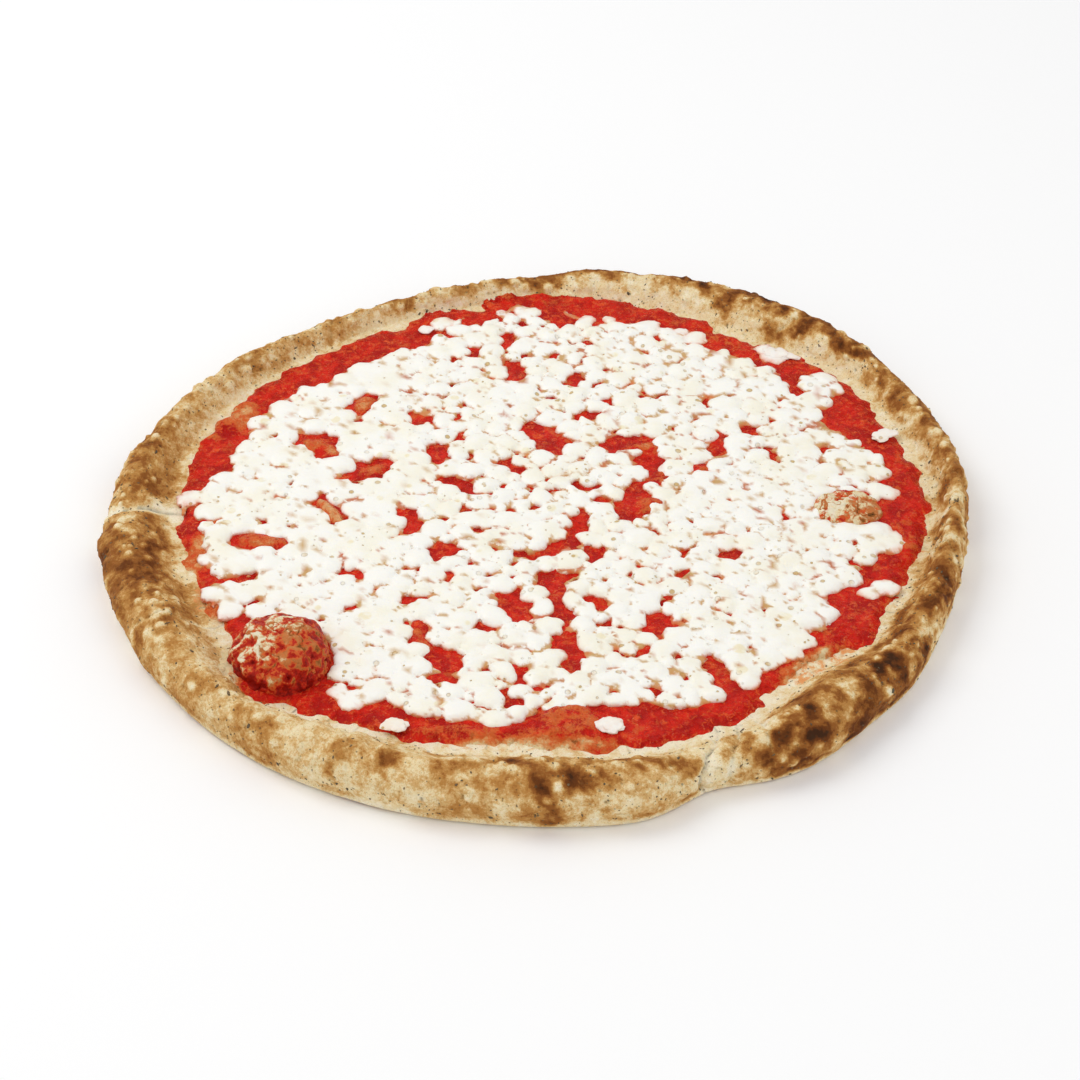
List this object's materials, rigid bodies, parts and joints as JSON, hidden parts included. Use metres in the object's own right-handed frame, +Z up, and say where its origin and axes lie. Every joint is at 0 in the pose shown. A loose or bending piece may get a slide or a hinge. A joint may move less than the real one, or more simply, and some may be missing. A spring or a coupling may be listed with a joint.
{
  "type": "margherita pizza",
  "caption": "Whole baked pizza: a browned dough disc with a raised uneven rim, tomato sauce in its well and melted mozzarella on top.",
  "frame": {"origin": "on the flat underside, below the middle of the disc", "axes": "+Z up through the pizza's thickness, from the underside to the toppings; +X to the right and +Y away from the viewer in the pictured view; the turn about Z is free"},
  "size_m": [0.301, 0.3028, 0.022],
  "materials": {
    "baked_dough": "dry baked dough, golden tan with brown patches, dark bran flecks and small blisters",
    "tomato_sauce": "wet, slightly lumpy cooked tomato sauce",
    "mozzarella": "soft melted cheese, creamy white with small tan pits and a slight sheen"
  },
  "bodies": {
    "root": {"crust": "baked_dough", "tomato_sauce": "tomato_sauce", "mozzarella": "mozzarella", "mozzarella_piece_1": "mozzarella", "mozzarella_piece_2": "mozzarella", "mozzarella_piece_3": "mozzarella", "mozzarella_piece_4": "mozzarella", "mozzarella_piece_5": "mozzarella"}
  },
  "joints": []
}
